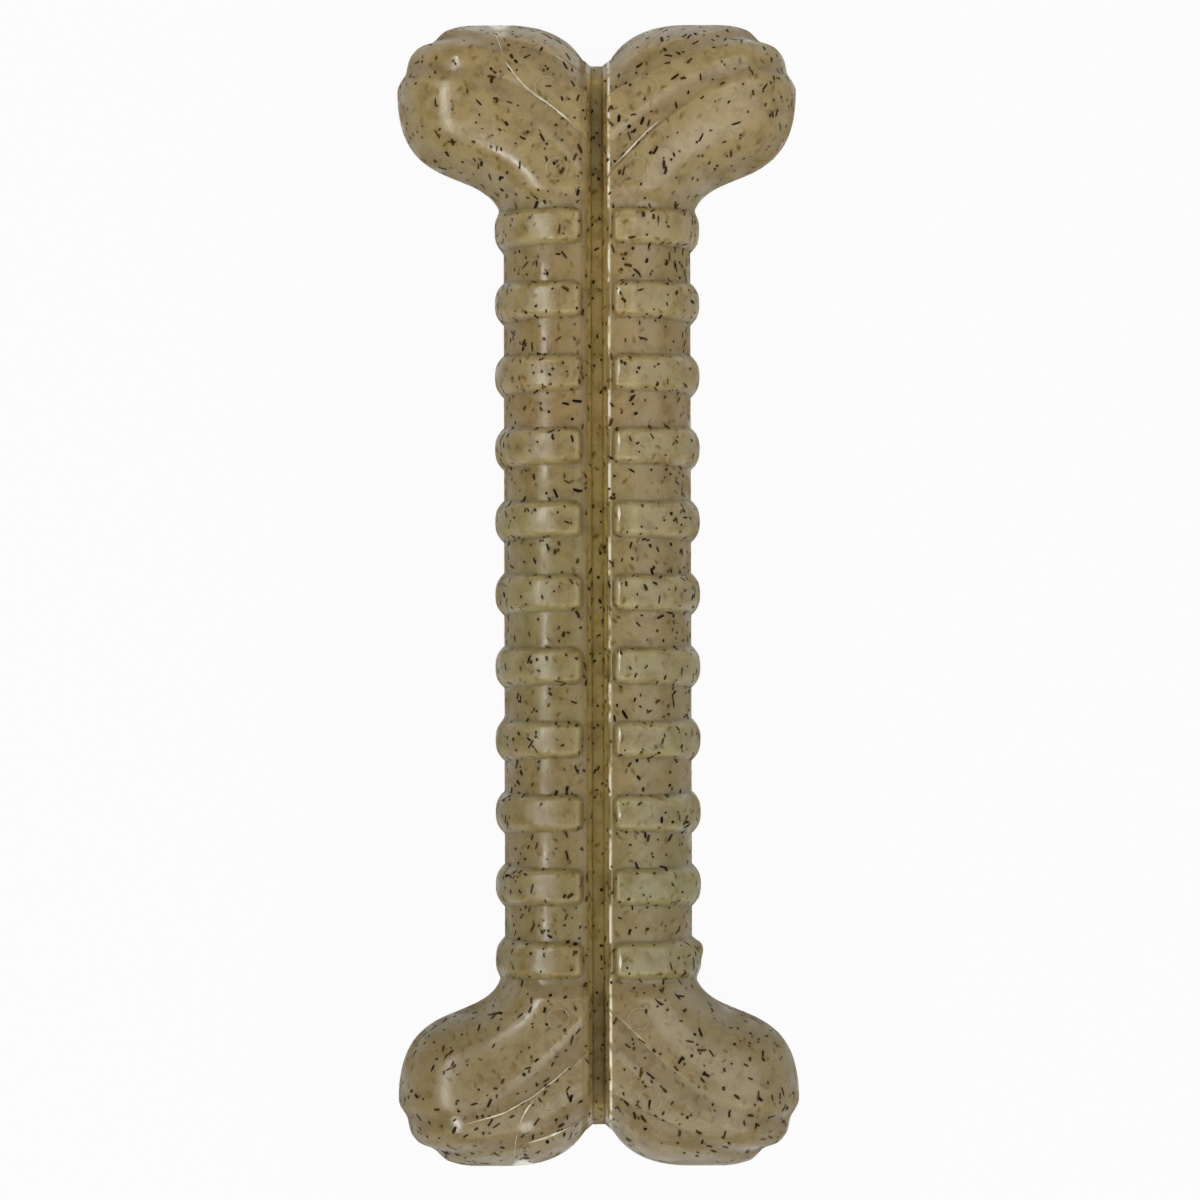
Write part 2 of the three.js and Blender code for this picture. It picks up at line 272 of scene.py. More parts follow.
def edge_share(points):
    """How far points in plan are in from the outline, as a share of its rounding. Near edges share it smoothly."""
    arcs = np.append(np.arange(0, OUTLINE_ARCS[-1], EDGE_STEP), OUTLINE_ARCS[-1])
    quarter, reach = outline_at(arcs), rounding_at(arcs)
    below, beside = slice(EDGE_BELOW, 0, -1), slice(-2, -EDGE_BESIDE, -1)
    loop = np.concatenate([quarter[below] * (1, -1), quarter, quarter[beside] * (-1, 1)])
    reach = np.concatenate([reach[below], reach, reach[beside]])
    start, step = loop[:-1], np.diff(loop, axis=0)
    reach = (reach[:-1] + reach[1:]) / 2
    lengths = np.linalg.norm(step, axis=1)
    line_share = math.sqrt(math.pi) * math.gamma((EDGE_POWER - 1) / 2) / math.gamma(EDGE_POWER / 2)
    result = np.empty(len(points))
    for first in range(0, len(points), EDGE_BATCH):
        part = points[first:first + EDGE_BATCH]
        offset = part[:, None, :] - start[None]
        along = np.clip((offset * step).sum(2) / lengths ** 2, 0, 1)
        gap = offset - along[..., None] * step
        share = np.sqrt((gap ** 2).sum(2)) / reach
        nearest = share.argmin(1)
        rows = np.arange(len(part))
        exact = share[rows, nearest]
        cross = step[nearest, 0] * gap[rows, nearest, 1] - step[nearest, 1] * gap[rows, nearest, 0]
        middle = np.sqrt(((offset - step / 2) ** 2).sum(2)) / reach
        pull = (lengths / reach / np.maximum(middle, 1e-3) ** EDGE_POWER).sum(1)
        shared = (pull / line_share) ** (-1 / (EDGE_POWER - 1))
        blend = smooth_step(*EDGE_BLEND, exact)
        result[first:first + EDGE_BATCH] = np.where(cross < 0, -exact, exact + (shared - exact) * blend)
    return result


def rounded(share):
    """Height of a quarter circle, over a share of its reach."""
    return np.sqrt(1 - (1 - np.clip(share, 0, 1)) ** 2)


def face_height(points):
    """Height of the face over the middle plane, before its ribs and valleys."""
    rise = RIB_HEIGHT * smooth_step(CREASE_Y, CREASE_Y + KNUCKLE_RISE, points[:, 1])
    crown = np.clip((CROWN_X - points[:, 0]) / (CROWN_X - LIP_X), 0, 1) ** 2
    crown *= CROWN_DROP * (1 - smooth_step(*[CREASE_Y + away for away in CROWN_FADE], points[:, 1]))
    return (HALF_THICKNESS + rise) * rounded(edge_share(points)) - crown


def strip_height(y):
    """Half the height of the strip, which is rounded off at the notch."""
    return np.minimum(HALF_THICKNESS - GROOVE_DEPTH, HALF_THICKNESS * rounded((NOTCH_Y - y) / END_ROUND))


def shaft_lines():
    """Lines across the shaft, closer together on the flanks of the ribs."""
    foot = RIB_LENGTH / 2 + RIB_HALF_SHARE * RIB_ROUND_RIM
    top = foot - RIB_ROUND_RIM
    flank = np.linspace(top, foot, FLANK_LINES)
    rib = np.concatenate([-flank, np.linspace(-top, top, TOP_LINES)[1:-1], flank])
    waist = np.linspace(foot, RIB_PITCH - foot, WAIST_LINES)[1:-1]
    heights = np.concatenate([n * RIB_PITCH + np.concatenate([rib, waist]) for n in range((RIB_COUNT + 1) // 2)])
    heights = np.unique(np.round(heights[(heights > 0) & (heights < CREASE_Y - 0.05)], 4))
    return [(y, flank_arc(y), STRAIGHT, 0, 0) for y in np.append(heights, CREASE_Y)]


def knuckle_lines():
    """Lines fanned over one knuckle: lobe, valley, petal, valley, end petal."""
    crease = dict(root=CREASE_Y, mouth=flank_arc(CREASE_Y) - TIP_ARC, lean=STRAIGHT)
    last = dict(root=ROOT_END_Y, mouth=NOTCH_LIP_ARC - LAST_MOUTH_LEAD - TIP_ARC, lean=STRAIGHT)
    edges = [crease, LOBE_EDGE, PETAL_LOWER, PETAL_UPPER, END_PETAL, last]
    lines = []
    for panel, (low, high) in enumerate(zip(edges, edges[1:])):
        is_valley = panel in VALLEY_PANELS
        depth = VALLEY_DEPTHS_FACE[panel // 2] if is_valley else 0
        room = max(high["root"] - low["root"], high["mouth"] - low["mouth"])
        shares = np.linspace(0, 1, max(int(room / SKIN_STEP), PANEL_LINES) + 1)
        if is_valley:
            near = CRISP_WALL[0] * np.array(CRISP_WALL_LINES)
            shares = np.unique(np.concatenate([np.linspace(0, 1, VALLEY_LINES + 1), near, 1 - near]))
        for share in shares[1:]:
            root, mouth = [low[key] + (high[key] - low[key]) * share for key in ("root", "mouth")]
            turn = min(1, share * (2 if panel == END_PANEL else 1))
            lean = np.array(low["lean"]) + (np.array(high["lean"]) - np.array(low["lean"])) * turn
            lines.append((root, TIP_ARC + mouth, tuple(lean), share if is_valley else 0, depth))
    return lines


def valley_share(across, along, walls):
    """How far down a valley's walls the skin is: 0 on its edges, 1 on its floor."""
    lower, upper = [root + (VALLEY_WALL_MOUTH - root) * smooth_step(*widens, along) for root, *widens in walls]
    return smooth_step(0, lower, across) * smooth_step(0, upper, 1 - across)


def valley_depth(on_face, along):
    """A valley is shallow over the face and deepest at the outline."""
    return on_face + (VALLEY_DEPTH_MOUTH - on_face) * smooth_step(*VALLEY_DEEPENS, along)


def line_plan(line, samples):
    """One line of the skin in plan, from the groove's lip to the outline."""
    root_y, arc, lean = line[:3]
    mouth = outline_at(arc)
    root = np.array([LIP_X, root_y])
    reach = mouth - root
    return bezier([root, root + reach * lean[:2], root + reach * lean[2:], mouth], samples)


def skin_normals(face):
    normals = np.cross(np.gradient(face, axis=1), np.gradient(face, axis=0))
    normals[:, -1, 2] = 0
    return normals / np.maximum(np.linalg.norm(normals, axis=2), 1e-9)[..., None]


def plain_skin():
    """A quarter of a side's skin before valleys and lips: its lines, points, places along, the lips' roundings."""
    lines = shaft_lines() + knuckle_lines()
    samples = np.linspace(0, 1, LINE_SAMPLES)
    plans = np.stack([line_plan(line, samples) for line in lines])
    heights = face_height(plans.reshape(-1, 2)).reshape(len(lines), LINE_SAMPLES)
    heights[:, -1] = 0
    face, shares, roundings = [], [], []
    for plan, height in zip(plans, heights):
        shrink = min(1, 0.5 * (plan[-1, 0] - LIP_X) / LIP_OFFSETS[-1])
        lip = np.interp(LIP_X + np.array(LIP_OFFSETS) * shrink, np.maximum.accumulate(plan[:, 0]), samples)
        step = np.sqrt((np.diff(plan, axis=0) ** 2).sum(1) + np.diff(height) ** 2)
        path = np.concatenate([[0], np.cumsum(step)])
        rest = np.linspace(np.interp(lip[-1], samples, path), path[-1], FACE_POINTS + 1)[1:]
        picks = np.concatenate([lip, np.interp(rest, path, samples)])
        face.append(np.stack([np.interp(picks, samples, row) for row in (plan[:, 0], plan[:, 1], height)], axis=1))
        shares.append(picks)
        roundings.append(LIP_ROUND * shrink)
    return lines, np.stack(face), np.stack(shares), np.array(roundings)


def side_skin(lines, face, along, roundings, walls):
    """A quarter of a side's finished skin: its points, and how far they are from the groove's lip and down a valley."""
    from_lip = face[..., 0] - LIP_X
    across, depth = np.array([line[3:] for line in lines]).T[..., None]
    valley = valley_share(across, along, walls)
    face = face - skin_normals(face) * (valley * valley_depth(depth, along))[..., None]
    roots = np.array([line[0] for line in lines])
    strip_y = np.where(roots < CREASE_Y, roots, np.interp(roots, (CREASE_Y, ROOT_END_Y), (CREASE_Y, STRIP_END_Y)))
    foot = np.stack([np.full(len(lines), STRIP_X), strip_y, strip_height(strip_y)], axis=1)
    room = np.maximum(face[:, 0, 2] - foot[:, 2], 0.1)
    roundings = np.minimum(roundings, 0.6 * room)[:, None]
    face[..., 2] -= roundings * (1 - rounded(from_lip / roundings))
    face[:, -1, 2] = 0
    wall = np.stack([foot + (face[:, 0] - foot) * share for share in WALL_SHARES], axis=1)
    wall_lip = np.tile(WALL_FROM_LIP, (len(lines), 1))
    return (np.concatenate([wall, face], axis=1), np.concatenate([wall_lip, from_lip], axis=1),
            np.concatenate([valley[:, :1]] * len(WALL_SHARES) + [valley], axis=1))


def ringed(rows, turn):
    """Rows over the upper face to the outline, carried on round and back under the lower face."""
    return np.concatenate([rows, rows[:, -2::-1] * turn], axis=1)


def new_piece(name, data):
    piece = bpy.data.objects.new(name, data)
    bpy.context.scene.collection.objects.link(piece)
    return piece


def smooth_mesh(name, points, polygons, **numbers):
    """A smooth mesh from points in millimetres, with named numbers for its points."""
    mesh = bpy.data.meshes.new(name)
    mesh.from_pydata((np.asarray(points) * MM).tolist(), [], polygons)
    for label, values in numbers.items():
        mesh.attributes.new(label, "FLOAT", "POINT").data.foreach_set("value", values)
    mesh.polygons.foreach_set("use_smooth", [True] * len(mesh.polygons))
    mesh.update()
    return mesh


def quads(count, size, first=0, wrap_rows=False, wrap_points=True):
    """Faces between neighbouring rows of points."""
    faces = []
    for i in range(count if wrap_rows else count - 1):
        low, high = first + i * size, first + (i + 1) % count * size
        for j in range(size if wrap_points else size - 1):
            k = (j + 1) % size
            faces.append((low + j, low + k, high + k, high + j))
    return faces


def whitening(points):
    """How stress-whitened the nylon is, in soft spots given in plan."""
    result = np.zeros(len(points))
    for x, y, half_x, half_y, strength in PALE_SPOTS:
        away = np.hypot((points[:, 0] - x) / half_x, (points[:, 1] - y) / half_y)
        result = np.maximum(result, strength * (1 - smooth_step(*SPOT_EDGE, away)))
    return result


def mark_piece(name, rows, lifts):
    """Closed bands in plan, each a loop of rows; a row's lift says how proud of the skin it stands."""
    points, heights, faces = [], [], []
    for band, closed in rows:
        band = np.asarray(band)
        first, (count, length) = len(points), band.shape[:2]
        points += [(x, y, 0) for row in band for x, y in row]
        heights += [lift for lift in lifts for _ in range(length)]
        faces += quads(count, length, first, wrap_rows=True, wrap_points=closed)
        if not closed:
            faces.append(tuple(first + i * length for i in range(count)))
            faces.append(tuple(first + i * length + length - 1 for i in reversed(range(count))))
    return new_piece(name, smooth_mesh(name, points, faces, lift=heights))


def pad_bands(sign):
    """The raised rims of the round ejector pads on one side."""
    turn = np.linspace(0, 2 * math.pi, 64, endpoint=False)
    circle = np.stack([np.cos(turn), np.sin(turn)], axis=1)
    bands = []
    for x, y, radius in PADS:
        for end in (-1, 1):
            centre = np.array([sign * x, end * y])
            bands.append(([centre + circle * (radius - inset) for inset in PAD_INSETS], True))
    return bands


def weld_and_highlight_bands(side):
    """Thin ridges along the weld lines and the painted highlights, which taper at both ends."""
    bands = []
    for half_width, line in WELD_AND_HIGHLIGHT_LINES[side]:
        line = np.array(line)
        run = np.concatenate([[0], np.cumsum(np.linalg.norm(np.diff(line, axis=0), axis=1))])
        even = np.arange(0, run[-1], WELD_STEP)
        path = np.stack([np.interp(even, run, line[:, i]) for i in (0, 1)], axis=1)
        kernel = np.ones(5) / 5
        path[2:-2] = np.stack([np.convolve(path[:, i], kernel, "valid") for i in (0, 1)], axis=1)
        tangent = np.gradient(path, axis=0)
        across = np.stack([tangent[:, 1], -tangent[:, 0]], axis=1) / np.linalg.norm(tangent, axis=1)[:, None]
        from_end = np.minimum(even, even[-1] - even) / min(WELD_TAPER, even[-1] / 2)
        taper = half_width * np.clip(from_end, 0.15, 1)[:, None]
        bands.append(([path + across * taper * offset for offset in WELD_OFFSETS], False))
    return bands


def side_base(name, sign, skin, from_lip, valley):
    """One side of the bone before its ribs are raised."""
    upper = ringed(skin, (1, 1, -1))
    rings = np.concatenate([upper[::-1] * (1, -1, 1), upper])
    count, size = rings.shape[:2]
    lips, valleys = [np.concatenate([rows[::-1], rows]).ravel() for rows in (ringed(from_lip, 1), ringed(valley, 1))]
    points = rings.reshape(-1, 3) * (sign, 1, 1)
    near = np.exp(-((points - GATE_SCAR) ** 2 * GATE_FALL).sum(1))
    points += near[:, None] * (GATE_HEIGHT, 0, 0)
    points += (0, 0, REST_HEIGHT)
    end = (count - 1) * size
    middle = (size - 1) // 2
    caps = []
    for k in range(middle - 1):
        caps.append((end + k, end + k + 1, end + size - 2 - k, end + size - 1 - k))
        caps.append((size - 1 - k, size - 2 - k, k + 1, k))
    tips = [(end + middle - 1, end + middle, end + middle + 1), (middle + 1, middle, middle - 1)]
    polygons = quads(count, size) + caps + tips
    if sign < 0:
        polygons = [face[::-1] for face in polygons]
    starts, ends = LIP_EDGES[sign]
    return new_piece(name, smooth_mesh(
        name, points, polygons, from_lip=lips * MM, valley=valleys, pale=whitening(points),
        lip_edge=smooth_step(*starts, lips) * (1 - smooth_step(*ends, lips)),
        groove_wall=smooth_step(0.05, -0.1, lips)))


def strip_mesh(name):
    """The strip at the floor of the groove: a bar with softened edges, rounded at both notches."""
    angles = np.linspace(0, math.pi / 2, 28)
    ends = NOTCH_Y - END_ROUND * (1 - np.sin(angles))
    heights = np.unique(np.round(np.concatenate([np.linspace(0, ends[0], 40), ends]), 4))
    heights = np.concatenate([-heights[:0:-1], heights])
    corner = np.linspace(0, math.pi / 2, 5)
    rows = []
    for y in heights:
        z = max(strip_height(abs(y)), 0.02)
        rounding = min(STRIP_ROUND, z)
        across = STRIP_X - rounding * (1 - np.cos(corner))
        up = z - rounding * (1 - np.sin(corner))
        quarter = np.stack([across, up], axis=1)
        section = np.concatenate([quarter, quarter[::-1] * (-1, 1), quarter * (-1, -1), quarter[::-1] * (1, -1)])
        rows.append(np.insert(section, 1, y, axis=1))
    size, count = len(rows[0]), len(rows)
    points = np.concatenate(rows) + (0, 0, REST_HEIGHT)
    polygons = [(a, d, c, b) for a, b, c, d in quads(count, size)]
    polygons.append(tuple(range(size)))
    polygons.append(tuple(range(count * size - 1, (count - 1) * size - 1, -1)))
    mesh = smooth_mesh(name, points, polygons)
    mesh.set_sharp_from_angle(angle=math.radians(40))
    return new_piece(name, mesh)


# Node trees

def add_node(tree, kind, inputs=None, **settings):
    """A node with its settings. Its inputs are linked to sockets or set to values."""
    made = tree.nodes.new(kind)
    for key, value in settings.items():
        setattr(made, key, value)
    for key, value in (inputs or {}).items():
        if isinstance(value, bpy.types.NodeSocket):
            tree.links.new(value, made.inputs[key])
        else:
            made.inputs[key].default_value = value
    return made


def put(tree, kind, inputs=None, **settings):
    """The outputs of a new node."""
    return add_node(tree, kind, inputs, **settings).outputs


def tree_of(*values):
    """The tree that the first socket among some values belongs to."""
    return next(value.id_data for value in values if isinstance(value, bpy.types.NodeSocket))


def calc(operation, *values):
    return put(tree_of(*values), "ShaderNodeMath", dict(enumerate(values)), operation=operation)[0]


def plus(first, second):
    return calc("ADD", first, second)


def minus(first, second):
    return calc("SUBTRACT", first, second)


def times(first, *others):
    """A product, taken from left to right."""
    for other in others:
        first = calc("MULTIPLY", first, other)
    return first


def unsigned(value):
    return calc("ABSOLUTE", value)


def vector_calc(operation, *values):
    return put(tree_of(*values), "ShaderNodeVectorMath", dict(enumerate(values)), operation=operation)[0]


def scaled(vector, scale):
    inputs = {"Vector": vector, "Scale": scale}
    return put(vector.id_data, "ShaderNodeVectorMath", inputs, operation="SCALE")[0]


def split(vector):
    """The three parts of a vector."""
    return put(vector.id_data, "ShaderNodeSeparateXYZ", {0: vector})


def joined(*parts):
    """A vector from its parts."""
    return put(tree_of(*parts), "ShaderNodeCombineXYZ", dict(enumerate(parts)))[0]


def ranged(value, low=0.0, high=1.0, first=0.0, last=1.0, **settings):
    """A value carried over from one range to another, held at both ends."""
    inputs = {"Value": value, "From Min": low, "From Max": high, "To Min": first, "To Max": last}
    return put(value.id_data, "ShaderNodeMapRange", inputs, **settings)[0]


def noise(place, scale, detail, roughness=0.5):
    inputs = {"Vector": place, "Scale": scale, "Detail": detail, "Roughness": roughness}
    return put(place.id_data, "ShaderNodeTexNoise", inputs)["Fac"]


def new_tree(name, kind, inputs, numbers, outputs):
    """A node tree with named inputs, some of them plain numbers: the tree, its input sockets, its output sockets."""
    tree = bpy.data.node_groups.new(name, kind)
    for side, sockets in (("INPUT", {**inputs, **dict.fromkeys(numbers, "Float")}), ("OUTPUT", outputs)):
        for label, socket in sockets.items():
            tree.interface.new_socket(label, in_out=side, socket_type=f"NodeSocket{socket}")
    return tree, put(tree, "NodeGroupInput"), add_node(tree, "NodeGroupOutput").inputs


# Geometry trees

def position(tree):
    return put(tree, "GeometryNodeInputPosition")[0]


def normal(tree):
    return put(tree, "GeometryNodeInputNormal")[0]


def stored(tree, label):
    """A number stored on the mesh."""
    return put(tree, "GeometryNodeInputNamedAttribute", {"Name": label}, data_type="FLOAT")[0]


def store(geometry, label, value, domain):
    inputs = {"Geometry": geometry, "Name": label, "Value": value}
    return put(value.id_data, "GeometryNodeStoreNamedAttribute", inputs, data_type="FLOAT", domain=domain)[0]


def moved(geometry, **inputs):
    """A geometry with its points moved to a Position or by an Offset."""
    return put(geometry.id_data, "GeometryNodeSetPosition", {"Geometry": geometry, **inputs})[0]


def realized(geometry):
    return put(geometry.id_data, "GeometryNodeRealizeInstances", {0: geometry})[0]


def random_number(tree, low, high, seed):
    """A random number for each element. Sockets 2 and 3 are the bounds of plain numbers, and output 1 gives them."""
    inputs = {2: low, 3: high, "Seed": seed}
    return put(tree, "FunctionNodeRandomValue", inputs, data_type="FLOAT")[1]


def end_tree(tree, result, geometry, finish):
    """Ends a geometry tree: one real mesh with its material."""
    inputs = {"Geometry": realized(geometry), "Material": finish}
    tree.links.new(put(tree, "GeometryNodeSetMaterial", inputs)[0], result[0])
    return tree


def grow(piece, tree, values, name):
    """The plain mesh that a geometry tree makes from a piece, as a new piece."""
    modifier = piece.modifiers.new(tree.name, "NODES")
    modifier.node_group = tree
    for item in tree.interface.items_tree:
        if item.item_type == "SOCKET" and item.in_out == "INPUT" and item.name in values:
            modifier[item.identifier] = values[item.name]
    depsgraph = bpy.context.evaluated_depsgraph_get()
    mesh = bpy.data.meshes.new_from_object(
        piece.evaluated_get(depsgraph), preserve_all_data_layers=True, depsgraph=depsgraph)
    mesh.name = name
    piece.modifiers.remove(modifier)
    return new_piece(name, mesh)


def rib_tree():
    """Raises evenly spaced ribs from the skin along its normals. Their rounding grows from the groove to the rim."""
    tree, size, result = new_tree(
        "raised_ribs", "GeometryNodeTree", {"Skin": "Geometry", "Count": "Int", "Finish": "Material"},
        ("Pitch", "Length", "Height", "Setback", "Rounding", "Rim rounding", "Corner", "Middle height", "Wear place",
         "Wear reach", "Wear"), {"Ribbed skin": "Geometry"})
    across, along, high = split(position(tree))
    outermost = times(minus(size["Count"], 1.0), 0.5)
    number = calc("ROUND", calc("DIVIDE", along, size["Pitch"]))
    number = calc("MINIMUM", calc("MAXIMUM", number, times(outermost, -1.0)), outermost)
    off_centre = unsigned(minus(along, times(number, size["Pitch"])))
    up = unsigned(minus(high, size["Middle height"]))
    face_level = times(size["Middle height"], RIB_FACE_LEVEL)
    rounding = ranged(up, face_level, 0.0, size["Rounding"], size["Rim rounding"])
    skirt = times(rounding, RIB_HALF_SHARE)
    distances = (minus(times(size["Length"], 0.5), off_centre),
                 minus(stored(tree, "from_lip"), size["Setback"]))
    shortfalls = [minus(size["Corner"], plus(distance, skirt)) for distance in distances]
    squares = [calc("POWER", calc("MAXIMUM", shortfall, 0.0), 2.0) for shortfall in shortfalls]
    round_part = calc("SQRT", plus(*squares))
    deep_part = calc("MINIMUM", calc("MAXIMUM", *shortfalls), 0.0)
    inside = minus(minus(size["Corner"], round_part), deep_part)
    share = put(tree, "ShaderNodeMath", {0: inside, 1: rounding}, operation="DIVIDE", use_clamp=True)[0]
    flank = add_node(tree, "ShaderNodeFloatCurve", {"Value": share})
    curve = flank.mapping.curves[0]
    for spot, place in zip(curve.points, (RIB_FLANK[0], RIB_FLANK[-1])):
        spot.location = place
    for place in RIB_FLANK[1:-1]:
        curve.points.new(*place)
    flank.mapping.update()
    share = flank.outputs[0]
    off_wear = calc("DIVIDE", minus(unsigned(across), size["Wear place"]), size["Wear reach"])
    wear = calc("MAXIMUM", minus(1.0, calc("POWER", off_wear, 2.0)), 0.0)
    height = times(size["Height"], minus(1.0, times(wear, size["Wear"])))
    noted = store(size["Skin"], "rib", share, "POINT")
    raised = moved(noted, Offset=scaled(normal(tree), times(share, height)))
    return end_tree(tree, result, raised, size["Finish"])


def pressed_tree():
    """Presses flat marks down onto a skin, straight from above."""
    tree, size, result = new_tree(
        "pressed_marks", "GeometryNodeTree", {"Marks": "Geometry", "Skin": "Object", "Finish": "Material"},
        ("Thickness",), {"Pressed": "Geometry"})
    skin = put(tree, "GeometryNodeObjectInfo", {"Object": size["Skin"]})["Geometry"]
    above = vector_calc("ADD", position(tree), (0, 0, PRESS_DROP / 2))
    hit = put(tree, "GeometryNodeRaycast", {"Target Geometry": skin, "Source Position": above,
                                            "Ray Direction": (0, 0, -1), "Ray Length": PRESS_DROP})
    raised = scaled(hit["Hit Normal"], times(stored(tree, "lift"), size["Thickness"]))
    laid = moved(size["Marks"], Position=vector_calc("ADD", hit["Hit Position"], raised))
    return end_tree(tree, result, laid, size["Finish"])


def laid_on(tree, geometry, skin, thickness):
    """Lays a geometry on a skin: each point goes to the nearest place, lifted by its own share of a thickness."""
    nearest = put(tree, "GeometryNodeProximity", {0: skin}, target_element="FACES")["Position"]
    facing = put(tree, "GeometryNodeSampleNearestSurface",
                 {"Mesh": skin, "Value": normal(tree), "Sample Position": position(tree)},
                 data_type="FLOAT_VECTOR")[0]
    raised = scaled(facing, times(stored(tree, "lift"), thickness))
    return moved(geometry, Position=vector_calc("ADD", nearest, raised))


def fleck_tree():
    """Scatters chips of dark fibre over the skin. They lie along the flow, which fans out into the knuckles."""
    tree, size, result = new_tree(
        "scattered_flecks", "GeometryNodeTree",
        {"Skin": "Geometry", "Chips": "Collection", "Seed": "Int", "Finish": "Material"},
        ("Per square metre", "Shortest", "Spread", "Narrowest", "Thickness"), {"Flecks": "Geometry"})
    on_show = put(tree, "FunctionNodeCompare", {0: stored(tree, "from_lip"), 1: FLECK_LOWEST * MM},
                  data_type="FLOAT", operation="GREATER_THAN")[0]
    spots = put(tree, "GeometryNodeDistributePointsOnFaces",
                {"Mesh": size["Skin"], "Selection": on_show, "Density": size["Per square metre"],
                 "Seed": size["Seed"]})
    across, along, _ = split(position(tree))
    fan = ranged(unsigned(along), *FLOW_FAN, last=FLOW_FAN_SHARE)
    flow = joined(times(across, fan), plus(along, FLOW_NUDGE))
    facing = put(tree, "FunctionNodeAxesToRotation", {0: spots["Normal"], 1: flow},
                 primary_axis="Z", secondary_axis="Y")[0]
    turn = plus(*[random_number(tree, -FLECK_TURN, FLECK_TURN, seed) for seed in (11, 12)])
    about = put(tree, "FunctionNodeAxisAngleToRotation", {"Axis": (0, 0, 1), "Angle": turn})[0]
    turned = put(tree, "FunctionNodeRotateRotation", {0: facing, 1: about}, rotation_space="LOCAL")[0]
    long = calc("POWER", random_number(tree, 0, 1, 13), 2.3)
    stout = calc("POWER", random_number(tree, 0, 1, 14), 2.0)
    length = plus(size["Shortest"], times(long, size["Spread"]))
    width = times(size["Narrowest"], plus(1.0, times(stout, FLECK_STOUTNESS)))
    chips = put(tree, "GeometryNodeCollectionInfo",
                {"Collection": size["Chips"], "Separate Children": True, "Reset Children": True})[0]
    placed = put(tree, "GeometryNodeInstanceOnPoints",
                 {"Points": spots["Points"], "Instance": chips, "Pick Instance": True, "Rotation": turned,
                  "Scale": joined(width, length, width)})[0]
    shaded = store(placed, "shade", random_number(tree, 0, 1, 15), "INSTANCE")
    laid = laid_on(tree, realized(shaded), size["Skin"], size["Thickness"])
    return end_tree(tree, result, laid, size["Finish"])


def chip_shapes():
    """A few irregular chips, a unit long and wide. Each point's lift says how it stands in the skin."""
    rng = np.random.default_rng(5)
    chips = bpy.data.collections.new("chips")
    sides = 8
    for number in range(6):
        angles = (np.arange(sides) + rng.uniform(-0.25, 0.25, sides)) * 2 * math.pi / sides
        square = 0.5 / np.maximum(np.abs(np.cos(angles)), np.abs(np.sin(angles)))
        radii = (0.55 * square + 0.45 * 0.5) * rng.uniform(0.75, 1.05, sides)
        rim = np.stack([radii * np.cos(angles), radii * np.sin(angles)], axis=1)
        rim[:, 0] += rng.uniform(-0.25, 0.25) * (rim[:, 1] * 2) ** 2
        points = [(x, y, 0) for x, y in rim] + [(x, y, 0) for x, y in rim * 0.96] + [(0, 0, 0)]
        faces = [tuple(reversed(range(sides)))]
        for i in range(sides):
            j = (i + 1) % sides
            faces.append((i, j, sides + j, sides + i))
            faces.append((sides + i, sides + j, 2 * sides))
        mesh = bpy.data.meshes.new(f"chip_{number}")
        mesh.from_pydata(points, [], faces)
        lift = mesh.attributes.new("lift", "FLOAT", "POINT")
        lift.data.foreach_set("value", [-1.0] * sides + [0.5] * sides + [1.0])
        chips.objects.link(bpy.data.objects.new(f"chip_{number}", mesh))
    return chips


# Finishes

def srgb(red, green, blue):
    """A colour given as it looks on a screen, from 0 to 255."""
    shares = [c / 255 for c in (red, green, blue)]
    return tuple(s / 12.92 if s <= 0.04045 else ((s + 0.055) / 1.055) ** 2.4 for s in shares) + (1.0,)


# Tans of the nylon: plain, warm and green. Pairs go from the near end to the far end.
SIDE_TANS = srgb(136, 120, 75), srgb(141, 120, 77), srgb(133, 122, 74)
# The strip's tans are painted paler than the sides': painted light that lifts the shade in the groove
GROOVE_LIGHTENED_TANS = srgb(167, 142, 84), srgb(170, 142, 84), srgb(164, 142, 81)
RIB_TANS = srgb(139, 139, 97), srgb(151, 136, 94)
# Painted shade towards the near end and painted light towards the far end, multiplied onto the colour
END_SHADE_AND_LIGHT_TINTS = (0.85, 0.855, 0.86, 1), (1.14, 1.1, 1.05, 1)
# The flanks of the ribs: painted light on those out on the face, painted shade on those beside the groove
RIB_FLANK_LIGHT_AND_SHADE = srgb(174, 164, 130), srgb(84, 70, 38)
KNUCKLE_TAN = srgb(150, 133, 88)
# Painted shade in the knuckles' valleys
VALLEY_SHADE = srgb(122, 98, 58)
# Painted light that lifts the shade on the groove's walls
GROOVE_WALL_LIGHT = srgb(170, 146, 86)
STAIN_BROWN = srgb(112, 88, 34)
DEEP_FLECK, SHALLOW_FLECK = srgb(88, 66, 3), srgb(62, 44, 1)
SCUFF_PALE = srgb(196, 184, 148)
# The right lip's white, partly wear and partly a painted highlight, and painted shade on the left lip
LIP_WHITE_AND_HIGHLIGHT, LIP_SHADE = srgb(242, 236, 216), srgb(108, 90, 50)
SPOT_PALE = srgb(234, 228, 214)
WELD_PALES = srgb(216, 208, 184), srgb(172, 158, 124)
FIBRE_BROWNS = srgb(13, 7, 2), srgb(78, 54, 12)
FIBRE_GRAIN = srgb(30, 20, 7)
# Tints that multiply a colour: painted shade on the rims of the shaft and of the knuckles, painted light on the rail
# beside the groove on the right, the halos of the flecks
RIM_SHADE_TINTS = (0.79, 0.77, 0.68, 1), (0.7, 0.68, 0.58, 1)
RAIL_LIGHT_TINT = (1.13, 1.14, 1.3, 1)
HALO_TINT = (1.0, 0.93, 0.45, 1)
NO_TINT = (1, 1, 1, 1)

